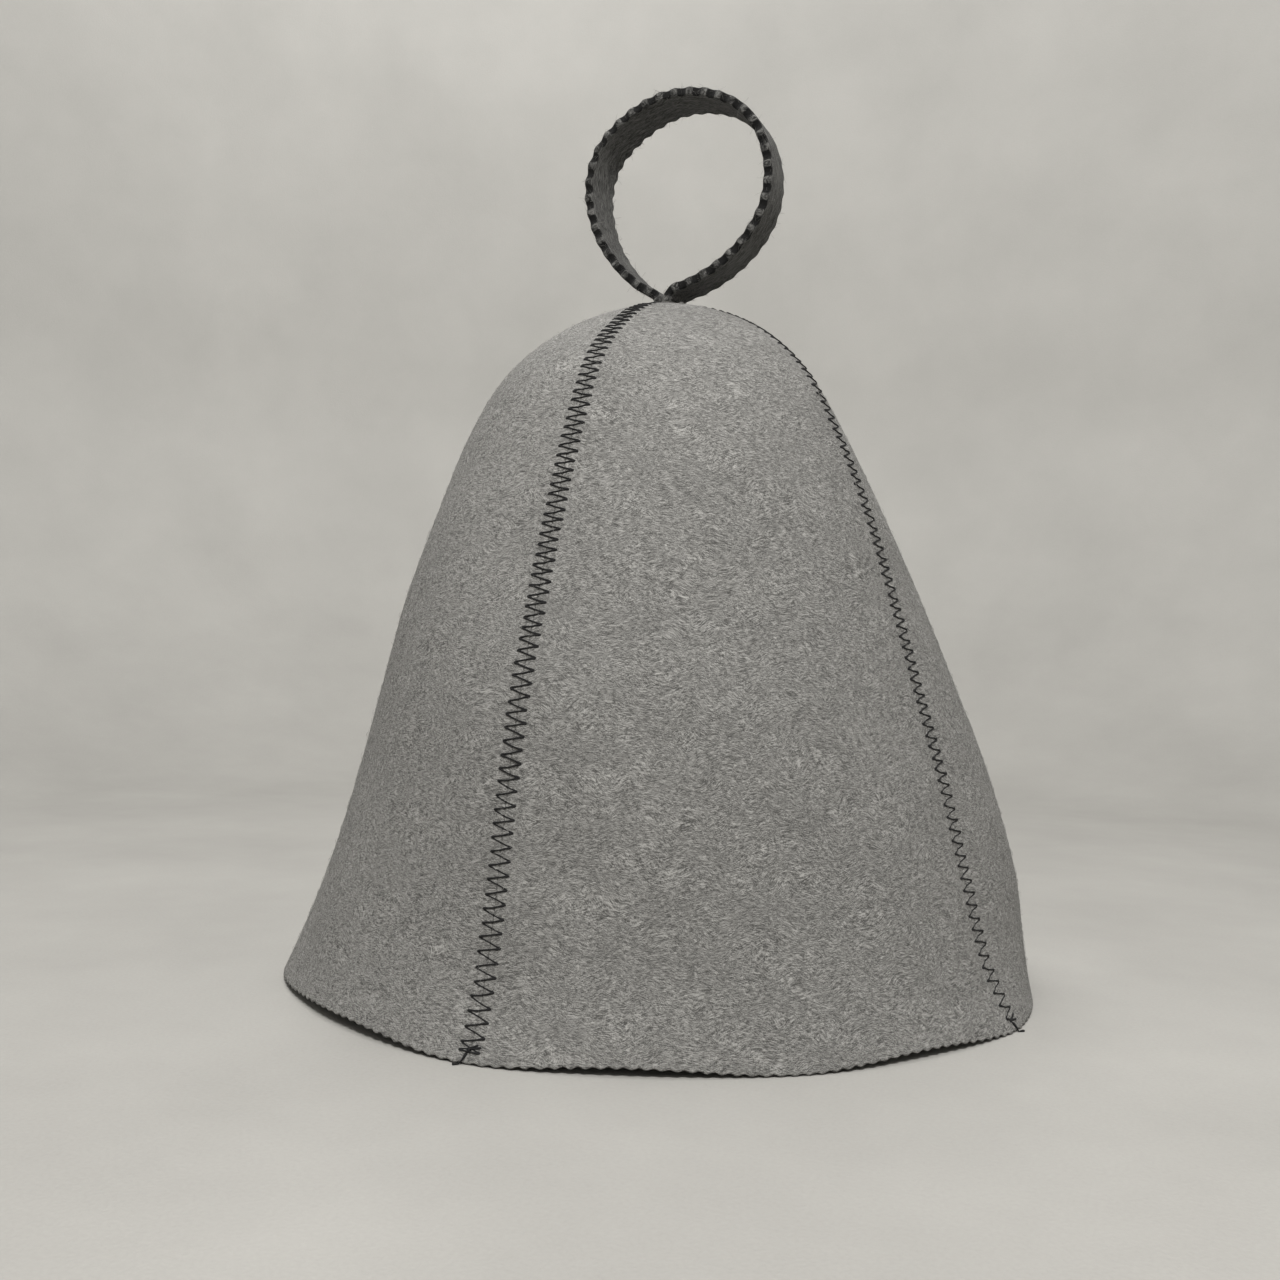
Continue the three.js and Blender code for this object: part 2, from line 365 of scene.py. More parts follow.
scorched_and_shaded_edge, darkening_in, darkening_out = new_group(
    "scorched_and_shaded_edge",
    [("Felt Colour", "NodeSocketColor", None), ("Scorch", "NodeSocketFloat", 0.0),
     ("Tint", "NodeSocketFloat", 0.5)],
    [("Colour", "NodeSocketColor")],
)
ragged = calculate(scorched_and_shaded_edge, "MULTIPLY_ADD", darkening_in.outputs["Tint"],
                   -BREAK_STRENGTH, BREAK_MIDDLE)
ragged = calculate(scorched_and_shaded_edge, "ADD", darkening_in.outputs["Scorch"], ragged)
darkened_share = spread(scorched_and_shaded_edge, ragged, *DARKENED_RANGE)
set_input(scorched_and_shaded_edge, darkening_out.inputs["Colour"],
          mix_colours(scorched_and_shaded_edge, darkened_share, darkening_in.outputs["Felt Colour"], SCORCH_AND_SHADE_COLOUR))


# %% [markdown]
# ## The felt's materials
# The gores and the strap are grey felt, so one function makes both materials. The strap's greys
# are darker, partly as a darker cut and partly as painted shade, because the strap is seen mostly
# from its unlit side. Felt is almost wholly matt: the shader keeps a high roughness, a weak
# specular and only a trace of sheen, and the fibres come from the group, as colour and as a fine bump.

# %% Make the felt materials
def felt_material(name, dark, light, patchiness):
    """Matt felt with a soft sheen, from two greys: the deep fibres' and the proud ones'."""
    material, tree, shader = new_material(
        name, Roughness=0.95, Specular_IOR_Level=0.15, Sheen_Weight=0.04, Sheen_Roughness=0.6
    )
    fibres = place_group(tree, felt_fibres, Place=read_attribute(tree, "flat_place", "Vector"),
                         Patchiness=patchiness)
    colour = mix_colours(tree, fibres.outputs["Tint"], dark, light)
    edge = place_group(tree, scorched_and_shaded_edge, Scorch=read_attribute(tree, "scorch_and_shade"),
                       Tint=fibres.outputs["Tint"])
    set_input(tree, edge.inputs["Felt Colour"], colour)
    colour_and_bump(tree, shader, edge.outputs["Colour"], fibres.outputs["Height"], 0.65, 0.3 * MM)
    return material


gore_felt = felt_material("gore_felt", (0.074, 0.073, 0.07, 1), (0.355, 0.352, 0.339, 1), 0.18)
# the strap's darker greys are partly painted shade for its unlit side
strap_felt_with_painted_shade = felt_material("strap_felt_with_painted_shade", (0.026, 0.026, 0.025, 1), (0.14, 0.139, 0.134, 1), 0.4)

# %% [markdown]
# ## The thread's material
# Sewing thread is two or three plies twisted together. At this size a modelled twist would cost
# far more faces than it shows, so the plies are drawn from the thread's own coordinates, which
# give the place along it and round it. They darken the colour and raise a bump between them.

# %% Make the thread's material
TWIST_PITCH = 0.9 * MM
PLY_WAVES = 2.0  # round the thread, and each shows as two ridges

thread_material, thread_tree, thread_shader = new_material(
    "sewing_thread", Roughness=0.8, Specular_IOR_Level=0.2, Sheen_Weight=0.03
)
lay = read_attribute(thread_tree, "thread_lay", "Vector")
lay_parts = add_node(thread_tree, "ShaderNodeSeparateXYZ", [lay])
turns = calculate(thread_tree, "MULTIPLY", lay_parts.outputs[0], 2 * math.pi / TWIST_PITCH)
plies = calculate(thread_tree, "MULTIPLY_ADD", lay_parts.outputs[1], PLY_WAVES, turns)
ply_height = calculate(thread_tree, "ABSOLUTE", calculate(thread_tree, "SINE", plies))
thread_colour = mix_colours(thread_tree, ply_height,
                            (0.004, 0.004, 0.004, 1), (0.017, 0.017, 0.018, 1))
colour_and_bump(thread_tree, thread_shader, thread_colour, ply_height, 0.7, 0.08 * MM)

# %% [markdown]
# ## The loose fibres' material
# Felt is mixed from pale and dark wool, so its loose fibres differ too. Each fibre carries one
# number for how pale it is. That is cheaper than a material for each shade, and it keeps the haze
# on the outline from looking like one flat colour.

# %% Make the loose fibres' material
fuzz_material, fuzz_tree, fuzz_shader = new_material(
    "loose_fibres", Roughness=0.9, Specular_IOR_Level=0.2, Sheen_Weight=0.1
)
fuzz_colour = mix_colours(fuzz_tree, read_attribute(fuzz_tree, "paleness"),
                          (0.1, 0.098, 0.092, 1), (0.36, 0.355, 0.34, 1))
colour_and_bump(fuzz_tree, fuzz_shader, fuzz_colour)

# %% [markdown]
# ## The sheet's material
# The sheet is plain, pale and matt. A slow cloud of two close tones keeps it from looking like
# plastic, and the upright part is a little paler, because less light reaches it.

# %% Make the sheet's material
SHEET_CLOUDS = 9.0
SHEET_GRAINS = 900.0
PALER_HEIGHT = 0.3

floor_material, floor_tree, floor_shader = new_material(
    "pale_sheet", Roughness=0.95, Specular_IOR_Level=0.1
)
floor_place = add_node(floor_tree, "ShaderNodeTexCoord").outputs["Object"]
floor_patch = noise(floor_tree, floor_place, SHEET_CLOUDS, detail=4.0, roughness=0.6).outputs["Fac"]
floor_grain = noise(floor_tree, floor_place, SHEET_GRAINS, detail=2.0).outputs["Fac"]
floor_tint = calculate(floor_tree, "MULTIPLY_ADD", floor_grain, 0.35, floor_patch)
floor_tint = spread(floor_tree, floor_tint, 0.35, 1.0)
low_colour = mix_colours(floor_tree, floor_tint, (0.315, 0.31, 0.295, 1), (0.385, 0.379, 0.361, 1))
high_colour = mix_colours(floor_tree, floor_tint, (0.38, 0.376, 0.36, 1), (0.445, 0.44, 0.422, 1))
floor_height = add_node(floor_tree, "ShaderNodeSeparateXYZ", [floor_place]).outputs[2]
height_share = spread(floor_tree, floor_height, 0.0, PALER_HEIGHT)
floor_colour = mix_colours(floor_tree, height_share, low_colour, high_colour)
colour_and_bump(floor_tree, floor_shader, floor_colour, floor_grain, 0.25, 0.4 * MM)
floor.data.materials.append(floor_material)
print("materials:", [m.name for m in bpy.data.materials if m.users])

# %% [markdown]
# ## The shape of a gore
# A gore is cut flat as a tall pointed leaf and takes its round form only when its edges are sewn
# to the next ones. Its shape is set by three upright curves: the seam at its left, its own middle,
# and the seam at its right. The table gives how far each stands from the crown's axis at twelve
# levels, as shares of the hem's radius. A smooth spline runs through the levels, and across the
# gore a circular arc runs from seam to seam through the middle.

# %% Levels of the crown
felt_thickness = 3 * MM
hem_radius = 120 * MM
joint_gap = 0.04 * MM

level_columns = ("height", "front", "seam", "front_right", "back_right", "back_left", "front_left")
level_rows = (
    (0, 0.97, 1.03, 0.945, 1.04, 1, 1),
    (0.08, 0.91, 0.95, 0.895, 1.04, 0.95, 0.94),
    (0.18, 0.87, 0.895, 0.85, 1.02, 0.9, 0.88),
    (0.3, 0.835, 0.835, 0.805, 0.95, 0.84, 0.82),
    (0.42, 0.79, 0.765, 0.755, 0.86, 0.78, 0.77),
    (0.55, 0.715, 0.69, 0.68, 0.75, 0.7, 0.71),
    (0.68, 0.63, 0.61, 0.6, 0.625, 0.61, 0.63),
    (0.79, 0.545, 0.525, 0.515, 0.505, 0.52, 0.55),
    (0.88, 0.45, 0.435, 0.415, 0.39, 0.42, 0.45),
    (0.945, 0.3, 0.31, 0.285, 0.27, 0.3, 0.305),
    (0.983, 0.16, 0.165, 0.155, 0.155, 0.155, 0.15),
    (1, 0.015, 0.015, 0.015, 0.015, 0.015, 0.015),
)
levels = dict(zip(level_columns, np.array(level_rows).T))

# rises counts the places where the hem lifts off the floor, and lean moves them to one side
Gore = namedtuple("Gore", "node middle start end rises lift lean")
gores = (
    Gore("panel_front_right", "front_right", "front", "right", 2, 2 * MM, 1),
    Gore("panel_back_right", "back_right", "right", "back", 1, 2 * MM, 1),
    Gore("panel_back_left", "back_left", "back", "left", 2, 2 * MM, 1),
    Gore("panel_front_left", "front_left", "left", "front", 1, 3 * MM, 2.2),
)
seam_angles = {"front": 0, "right": 84, "back": 176, "left": 268}
seam_columns = {"front": "front", "right": "seam", "back": "seam", "left": "seam"}

print("levels of the crown:", len(level_rows), "and gores:", len(gores))

# %% [markdown]
# A curve through measured points must be smooth, or the felt would show a crease at each level.
# The spline below passes through every value and leaves it in the direction of its neighbours. It
# gives its slope too, because the felt's thickness is laid square to the curve.

# %% Helpers for smooth curves
def smooth_step(x):
    x = np.clip(x, 0, 1)
    return x * x * (3 - 2 * x)


def unit(vectors):
    """The same directions, each one long."""
    return vectors / np.linalg.norm(vectors, axis=-1, keepdims=True)


def cubic(start, end, slope_in, slope_out, w):
    """A smooth step from start to end with the slopes it is given, and its own slope at w."""
    cube = 2 * start - 2 * end + slope_in + slope_out
    square = -3 * start + 3 * end - 2 * slope_in - slope_out
    return ((cube * w + square) * w + slope_in) * w + start, (3 * cube * w + 2 * square) * w + slope_in


def spline(values, along):
    """A smooth curve through evenly spaced values, and its slope, where along runs from 0 to 1."""
    last = len(values) - 1
    place = np.clip(along, 0, 1) * last
    i = np.minimum(place.astype(int), last - 1)
    w = place - i
    before, start = values[np.maximum(i - 1, 0)], values[i]
    end, after = values[i + 1], values[np.minimum(i + 2, last)]
    return cubic(start, end, (end - before) / 2, (after - start) / 2, w)


def lengths_along(points, axis=0):
    """The distance walked from the first point, through a row of points."""
    steps = np.linalg.norm(np.diff(points, axis=axis), axis=-1)
    start = np.zeros_like(np.take(steps, [0], axis))
    return np.concatenate((start, np.cumsum(steps, axis)), axis)


# %% [markdown]
# Felt has two skins, and both are needed, because the hat is open below. The hem is cut level, so
# there the inner skin is straight across from the outer one. Higher up it lies square to the curve.

# %% The felt along one upright curve
foot_blend = 9 * MM


def felt_profile(column, along):
    """(radius, height) of the outer and the inner skin along one upright curve."""
    radius, radius_slope = spline(levels[column] * hem_radius, along)
    height, height_slope = spline(levels["height"] * crown_height, along)
    length = np.hypot(radius_slope, height_slope)
    across, upright = radius_slope / length, height_slope / length
    square_off = smooth_step(height / foot_blend)
    level_step = -felt_thickness / np.maximum(upright, 0.5)
    inner_radius = radius + level_step * (1 - square_off) - felt_thickness * upright * square_off
    inner_height = height + felt_thickness * across * square_off
    return (radius, height), (inner_radius, inner_height)


# %% [markdown]
# Across a gore both skins follow an arc from seam to seam. Three curves fix it: the arc passes
# through the seam at the left, the gore's own middle, and the seam at the right. Sharing the seam
# curves between neighbours is what makes the gores meet edge to edge.

# %% The felt across a gore
def gore_skins(gore, along, share):
    """Points on the outer and inner skins, where along runs up the gore and share across it."""
    along, share = np.broadcast_arrays(along, share)
    half = math.radians((seam_angles[gore.end] - seam_angles[gore.start]) % 360) / 2
    facing = math.radians(seam_angles[gore.start]) + half
    columns = (seam_columns[gore.start], gore.middle, seam_columns[gore.end])
    profiles = [felt_profile(column, along) for column in columns]
    side = 2 * share - 1
    skins = []
    for skin in range(2):
        (left, left_z), (middle, middle_z), (right, right_z) = (p[skin] for p in profiles)
        left_x = joint_gap / 2 * math.cos(half) - left * math.sin(half)
        right_x = right * math.sin(half) - joint_gap / 2 * math.cos(half)
        left_out = left * math.cos(half) + joint_gap / 2 * math.sin(half)
        right_out = right * math.cos(half) + joint_gap / 2 * math.sin(half)
        half_chord = (right_x - left_x) / 2
        rise = middle - (left_out + right_out) / 2
        radius = (half_chord**2 + rise**2) / (2 * rise)
        half_arc = np.arctan2(half_chord, radius - rise)
        x = radius * np.sin(side * half_arc) + (left_x + right_x) / 2
        out = middle - radius + radius * np.cos(side * half_arc) + side * (right_out - left_out) / 2
        seam_z = left_z + (right_z - left_z) * share
        z = middle_z + (seam_z - middle_z) * side**2
        skins.append(np.stack((
            crown_axis.x + x * math.cos(facing) + out * math.sin(facing),
            crown_axis.y + x * math.sin(facing) - out * math.cos(facing),
            z,
        ), -1))
    return skins


# %% [markdown]
# Stitches are spaced along the felt and not up the height, so each seam is measured once in fine
# steps. Later cells look places up in these lists instead of solving for them.

# %% Measure the seams
fine_alongs = np.linspace(0, 1, 3001)
fine_heights = spline(levels["height"] * crown_height, fine_alongs)[0]
seam_lengths = {
    seam: lengths_along(np.stack(felt_profile(column, fine_alongs)[0], -1))
    for seam, column in seam_columns.items()
}
print("seam lengths in mm:", {seam: round(s[-1] / MM, 1) for seam, s in seam_lengths.items()})

# %% [markdown]
# ## Where the needle went
# The gores are butted together and joined by a wide zigzag, so the needle pierces the felt on
# each side of the joint in turn. The stitches are long near the hem and closer higher up, as the
# photograph shows. The holes are worked out before the felt is made, because the tight thread
# pulls a small dimple into the felt round each of them.

# %% Plan the stitches of each seam
stitch_half_width = 3.25 * MM
first_stitch = 3.4 * MM
slot_reach = 8 * MM
level_leg_share = 0.38  # of the pitch; the steep leg takes the rest
hole_jitter = 0.12 * MM
lock_holes = 5
lock_height = 2.6 * MM
lock_spread = (0.2, 1.0)  # as shares of the stitch's half width
last_hole_share = 0.3  # the last hole lies nearer to the seam than the others

stitch_pitches = {  # places as shares of the seam's length from the hem, and the pitch there in mm
    "front": ((0, 0.2, 0.38, 0.44, 1), (3.85, 3.75, 3.65, 3.15, 3.2)),
    "right": ((0, 0.5, 1), (3.9, 3.3, 3.1)),
    "back": ((0, 0.5, 1), (3.8, 3.4, 3.1)),
    "left": ((0, 0.5, 1), (4.0, 3.3, 3.2)),
}
# the side of each seam that its level legs run to
level_sides = {"front": -1, "right": 1, "back": -1, "left": 1}
dice = np.random.default_rng(20240611)


def plan_holes(seam):
    """The needle holes as (distance up the seam, signed distance from it), from the crown down.

    The last ones lie close over each other at the hem, where they lock the thread."""
    shares, pitches = stitch_pitches[seam]
    length = seam_lengths[seam][-1]
    places, place, side = [], first_stitch, 1
    while place < length - slot_reach:
        places.append((place, side * stitch_half_width))
        pitch = np.interp(place / length, shares, pitches) * MM
        place += pitch * (level_leg_share if side == level_sides[seam] else 1 - level_leg_share)
        side = -side
    places = places[::-1]
    for number in range(lock_holes):
        side = -1 if number % 2 == 0 else 1
        height = first_stitch + lock_height * dice.uniform(-0.1, 1)
        places.append((height, side * stitch_half_width * dice.uniform(*lock_spread)))
    places[-1] = (first_stitch, last_hole_share * places[-1][1])
    return np.array(places) + dice.normal(0, hole_jitter, (len(places), 2))


seam_holes = {seam: plan_holes(seam) for seam in seam_angles}
print("needle holes:", {seam: len(holes) for seam, holes in seam_holes.items()})

# %% [markdown]
# The felt sinks towards the joint, and a little more at each hole. The same small function is used
# twice: to shape the felt, and later to lay the thread in it.

# %% How far the felt sinks at a seam
joint_sink = 0.32 * MM
joint_sink_width = 1.7 * MM
hole_sink = 0.34 * MM
hole_sink_width = 0.75 * MM


def seam_sink(seam, up, beside):
    """How deep the skin is drawn in, up the seam from the hem and beside it on either side."""
    sink = joint_sink * np.exp(-((beside / joint_sink_width) ** 2))
    for hole_up, hole_beside in seam_holes[seam]:
        near = (up - hole_up) ** 2 + (beside - hole_beside) ** 2
        sink = np.maximum(sink, hole_sink * np.exp(-near / hole_sink_width**2))
    return sink


# %% [markdown]
# ## The felt of each gore
# Each gore becomes a closed shell 3 mm thick, with an outer and an inner skin and a narrow cut
# face all round. A solidify modifier would be shorter, but its rim can't be waved or scorched.
# The hem was cut in small waves, so the lowest rows carry many more points than the wall above,
# and near the seams the columns close up to hold the dimples. At the crown the shell stops at the
# slot that the strap passes through.

# %% Rows and columns of a gore
hem_wave_pitch = 4 * MM
hem_wave_depth = 0.6 * MM
points_per_wave = 6
hem_band = 6 * MM
hem_steps = np.array((0, 0.3, 0.7, 1.2, 2.0, 3.4, 6.0)) * MM
row_step = 0.95 * MM
edge_steps = np.array((0, 0.3, 0.8, 1.5, 2.2, 2.9, 3.6, 4.4, 5.5, 7.0)) * MM
middle_columns = 62
hem_round = 0.7 * MM
seam_round = 0.22 * MM

first_row = np.interp(hem_band, fine_heights, seam_lengths["right"]) + row_step
wall_lengths = np.arange(first_row, seam_lengths["right"][-1], row_step)
wall_alongs = np.append(np.interp(wall_lengths, seam_lengths["right"], fine_alongs), 1)


def wall_shares(row_lengths):
    """Shares across each row: close steps by both seams, and even steps between them."""
    reach = np.minimum(edge_steps[-1], row_lengths / 4)[:, None] / row_lengths[:, None]
    left = reach * (edge_steps / edge_steps[-1])
    middle = reach + (1 - 2 * reach) * np.linspace(0, 1, middle_columns + 1)[1:-1]
    return np.hstack((left, middle, 1 - left[:, ::-1]))


print("rows of the wall:", len(wall_alongs))

# %% [markdown]
# Hand-shaped felt is never quite even. Three slow waves of different lengths give hills and
# hollows under half a millimetre, which the light picks out, and the cut edges are rounded. Both
# fade out where they must: the hills at the seams, the rounding a little way in from the edge.

# %% Shape the two skins of a gore
hill_height = 0.45 * MM
hill_fade = 16 * MM


def rounding(distance, radius):
    """How far a skin falls back towards the felt's middle near a rounded cut edge."""
    short = np.clip(radius - distance, 0, radius)
    return radius - np.sqrt(radius**2 - short**2)


def gentle_waves(across, up, phase):
    """Slow hills and hollows of hand-shaped felt, between about -1 and 1."""
    waves = np.sin(across / (21 * MM) + phase) * np.cos(up / (31 * MM) + 2 * phase)
    waves += 0.6 * np.sin(across / (12 * MM) - up / (17 * MM) + 3 * phase)
    waves += 0.35 * np.sin(across / (7.5 * MM) + up / (10 * MM) + 5 * phase)
    return waves / 1.95


def shape_skins(gore, along, share, hem_line, number):
    """The two skins of a gore with dimples, hills and rounded edges, and its flat coordinates."""
    outer, inner = gore_skins(gore, along, share)
    from_left = lengths_along(outer, axis=1)
    from_right = from_left[:, -1:] - from_left
    up = np.stack([np.interp(along, fine_alongs, seam_lengths[seam])
                   for seam in (gore.start, gore.end)])
    sink = np.zeros_like(from_left)
    close = edge_steps[-1] * 1.5
    near_left, near_right = from_left < close, from_right < close
    sink[near_left] = seam_sink(gore.start, up[0][near_left], from_left[near_left])
    sink[near_right] = np.maximum(
        sink[near_right], seam_sink(gore.end, up[1][near_right], -from_right[near_right])
    )
    edge = np.minimum(from_left, from_right)
    sink += rounding(edge, seam_round)
    sink += rounding(outer[..., 2] - hem_line, hem_round)
    across = from_left - from_left[:, -1:] / 2
    hills = hill_height * gentle_waves(across, up.mean(0), number) * smooth_step(edge / hill_fade)
    outward = unit(outer - inner)
    outer = outer + outward * (hills - sink)[..., None]
    inner = inner + outward * (hills + sink)[..., None]
    return outer, inner, np.stack((across, up.mean(0)), -1)


# %% [markdown]
# The four tips don't meet in a point: they leave a slot for the strap. Cutting the slot with a
# boolean would leave ragged faces, so the last rows are drawn back to the slot's outline instead,
# and sink or rise with the dome as they move.

# %% Open the slot in the crown
slot_half_size = (3.35 * MM, 7.15 * MM)
slot_blend = 15 * MM


def open_slot(skin):
    """Draws the tips of the rows back to the slot's outline, keeping the dome's height."""
    offset = skin[..., :2] - np.array(crown_axis)[:2]
    radius = np.linalg.norm(offset, axis=-1)
    direction = offset / radius[..., None]
    reach = np.array(slot_half_size) / np.maximum(np.abs(direction), 1e-9)
    slot = reach.min(-1)
    tip = radius[-1]
    opened = slot + (slot_blend - slot) * (radius - tip) / (slot_blend - tip)
    opened = np.where(radius < slot_blend, opened, radius)
    crown_rows = np.argmax(radius[:, 0] < 2 * slot_blend)
    result = skin.copy()
    near = slice(crown_rows, None)
    for column in range(skin.shape[1]):
        result[near, column, 2] = np.interp(
            opened[near, column], radius[near, column][::-1], skin[near, column, 2][::-1]
        )
    result[..., :2] = np.array(crown_axis)[:2] + direction * opened[..., None]
    return result


# %% [markdown]
# The rows become faces in bands. Where two rows have the same number of points the band is plain
# four-sided faces, and where the fine hem meets the coarser wall, triangles close the difference
# by always taking the shorter next step.

# %% Helpers for bands of faces
def quad_band(lower, upper):
    return np.stack((lower[:-1], lower[1:], upper[1:], upper[:-1]), -1).tolist()


def uneven_band(lower, lower_shares, upper, upper_shares):
    faces, i, j = [], 0, 0
    while i < len(lower) - 1 or j < len(upper) - 1:
        next_lower = lower_shares[i + 1] if i < len(lower) - 1 else math.inf
        next_upper = upper_shares[j + 1] if j < len(upper) - 1 else math.inf
        if next_lower <= next_upper:
            faces.append((lower[i], lower[i + 1], upper[j]))
            i += 1
        else:
            faces.append((lower[i], upper[j + 1], upper[j]))
            j += 1
    return faces


def shell_faces(rows, shares):
    """Faces of one skin, from rows of point numbers and their shares."""
    faces = []
    for row in range(len(rows) - 1):
        if len(rows[row]) == len(rows[row + 1]):
            faces += quad_band(rows[row], rows[row + 1])
        else:
            faces += uneven_band(rows[row], shares[row], rows[row + 1], shares[row + 1])
    return faces


def border(rows):
    """The point numbers round a skin: along the hem, up the right seam, over the crown and down."""
    right = [row[-1] for row in rows[1:]]
    top = list(rows[-1][-2::-1])
    left = [row[0] for row in rows[-2:0:-1]]
    return np.array([*rows[0], *right, *top, *left])


# %% [markdown]
# A gore's points come in two blocks. The waved hem has many columns and few rows, and the wall
# above it has fewer columns and many rows. The waves differ a little in size, as hand-cut ones do.

# %% Plan the hem and the wall of a gore
wave_sizes = (0.6, 1.1)
rough_columns = 41


def gore_blocks(gore, number):
    """The hem and the wall, each as two skins and flat places, their shares, and the notches."""
    turn = math.radians((seam_angles[gore.end] - seam_angles[gore.start]) % 360)
    waves = round(turn * hem_radius / hem_wave_pitch)
    hem_shares = np.linspace(0, 1, waves * points_per_wave + 1)
    notch = 0.5 - 0.5 * np.cos(2 * math.pi * waves * hem_shares)
    sizes = dice.uniform(*wave_sizes, waves + 1)
    sizes = np.interp(hem_shares * waves, np.arange(waves + 1), sizes)
    hem_line = gore.lift * np.sin(gore.rises * math.pi * hem_shares**gore.lean) ** 2
    hem_line += hem_wave_depth * notch * sizes
    hem_heights = hem_line + (hem_band - hem_line) * (hem_steps / hem_band)[:, None]
    hem_alongs = np.interp(hem_heights, fine_heights, fine_alongs)
    shares = np.broadcast_to(hem_shares, hem_alongs.shape)
    hem = shape_skins(gore, hem_alongs, shares, hem_line, number)
    rough = gore_skins(gore, wall_alongs[:, None], np.linspace(0, 1, rough_columns)[None])[0]
    shares = wall_shares(lengths_along(rough, axis=1)[:, -1])
    alongs = np.broadcast_to(wall_alongs[:, None], shares.shape)
    wall = shape_skins(gore, alongs, shares, 0, number)
    wall = (open_slot(wall[0]), open_slot(wall[1]), wall[2])
    return hem, wall, [hem_shares] * len(hem_steps) + list(shares), notch


# %% [markdown]
# Now each gore is put together: the hem and the wall, on the outer skin and on the inner one, and
# at last the cut face that joins them. Each point is told how dark its edge is drawn: the cut face
# at the hem is scorched and darker in the notches as painted shade, the two lowest rows of both
# skins carry a painted shadow where the hem meets the floor, and the wall carries none.

# %% Make the gores
skin_depth = 40 * MM  # the inner skin and each gore take their fibres from other depths
gore_depth = 300 * MM
middle_depth = 20 * MM
# the hem's cut face: scorch, and painted shade that deepens it in the notches
hem_face_scorch_and_shade = (1.0, 0.5)  # how strong, and the share of it that is left on the tips of the waves
# the lowest rows of both skins: mostly a painted shadow of the gap under the hem, with some scorch on
# the rounding
hem_rows_scorch_and_shadow = ((0.9, 0.5), (0.45, 0.3))  # the same for the two lowest rows of each skin


def gore_piece(gore, number):
    """One gore as a closed felt shell, and its wall's points for the thread and the fibres."""
    hem, wall, row_shares, notch = gore_blocks(gore, number)
    places, flat, rows = [], [], []
    count = 0
    for skin in range(2):
        skin_rows = []
        for block in (hem, wall):
            size = block[skin].shape[:2]
            places.append(block[skin].reshape(-1, 3))
            added = size[0] * size[1]
            depth = np.full((added, 1), skin * skin_depth + number * gore_depth)
            flat.append(np.hstack((block[2].reshape(-1, 2), depth)))
            skin_rows += list(np.arange(count, count + added).reshape(size))
            count += added
        rows.append(skin_rows)
    places, flat = np.vstack(places), np.vstack(flat)
    outer_border, inner_border = border(rows[0]), border(rows[1])
    middle_border = count + np.arange(len(outer_border))
    places = np.vstack((places, (places[outer_border] + places[inner_border]) / 2))
    flat = np.vstack((flat, flat[outer_border] + (0, 0, middle_depth)))
    faces = shell_faces(rows[0], row_shares)
    faces += [face[::-1] for face in shell_faces(rows[1], row_shares)]
    closed = [np.append(loop, loop[0]) for loop in (outer_border, middle_border, inner_border)]
    faces += quad_band(closed[1], closed[0])
    faces += quad_band(closed[2], closed[1])

    scorch_and_shade = np.zeros(len(places))
    darkened_rows = ((middle_border[:len(notch)], *hem_face_scorch_and_shade),
                     *((skin_rows[row], *hem_rows_scorch_and_shadow[row]) for skin_rows in rows for row in (0, 1)))
    for row, strength, least in darkened_rows:
        scorch_and_shade[row] = strength * (least + (1 - least) * notch)
    piece = new_piece(gore.node.replace("panel", "gore"), places, faces, gore_felt)
    add_attribute(piece, "flat_place", "FLOAT_VECTOR", flat)
    add_attribute(piece, "scorch_and_shade", "FLOAT", scorch_and_shade)
    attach(piece, "root")
    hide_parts(gore.node)
    return piece, wall


gore_pieces, gore_walls = {}, {}
for number, gore in enumerate(gores):
    gore_pieces[gore.node], gore_walls[gore.node] = gore_piece(gore, number)
    print(gore.node, "has", len(gore_pieces[gore.node].data.polygons), "faces")

# %% [markdown]
# ## The sewing thread
# A zigzag stitch is a thread that comes out of one hole, crosses the joint and dives into the
# next. Curves with a bevel would do, but hundreds of separate curves are slow and can't carry the
# twist of the thread. Here every leg is a thin closed tube with nine rings, and all the legs of a
# seam are worked out at once as one array and joined into one mesh. The same holes serve the
# bobbin thread on the inner side.

# %% Build tubes along many paths at once
thread_radius = 0.26 * MM
tube_sides = 7


def tubes(paths, normals, radii):
    """Closed tubes along paths of equal point count. Gives points, faces and thread coordinates."""
    count, rings = paths.shape[:2]
    runs = unit(np.gradient(paths, axis=1))
    sideways = unit(np.cross(runs, normals))
    upright = np.cross(sideways, runs)
    angles = np.arange(tube_sides) * 2 * math.pi / tube_sides
    ring = np.cos(angles)[:, None] * upright[:, :, None]
    ring = ring + np.sin(angles)[:, None] * sideways[:, :, None]
    points = (paths[:, :, None] + np.asarray(radii)[:, None, None] * ring).reshape(-1, 3)
    lengths = lengths_along(paths, axis=1)
    thread_lay = np.zeros((count, rings, tube_sides, 3))
    thread_lay[..., 0] = lengths[:, :, None]
    thread_lay[..., 1] = angles
    first = np.arange(count * rings * tube_sides).reshape(count, rings, tube_sides)
    beside = np.roll(first, -1, axis=2)
    sides = np.stack((first[:, :-1], first[:, 1:], beside[:, 1:], beside[:, :-1]), -1)
    faces = sides.reshape(-1, 4).tolist() + first[:, 0].tolist() + first[:, -1, ::-1].tolist()
    return points, faces, thread_lay.reshape(-1, 3)


# %% [markdown]
# The stitches were planned as a distance up the seam and one beside it. To lay them, each such
# pair must become a point on the felt and the way out of the felt there. The side of the seam
# says which of its two gores the point is on.

# %% Find places beside a seam
by_start = {gore.start: gore for gore in gores}
by_end = {gore.end: gore for gore in gores}
row_lengths = {node: lengths_along(wall[0], axis=1)[:, -1] for node, wall in gore_walls.items()}


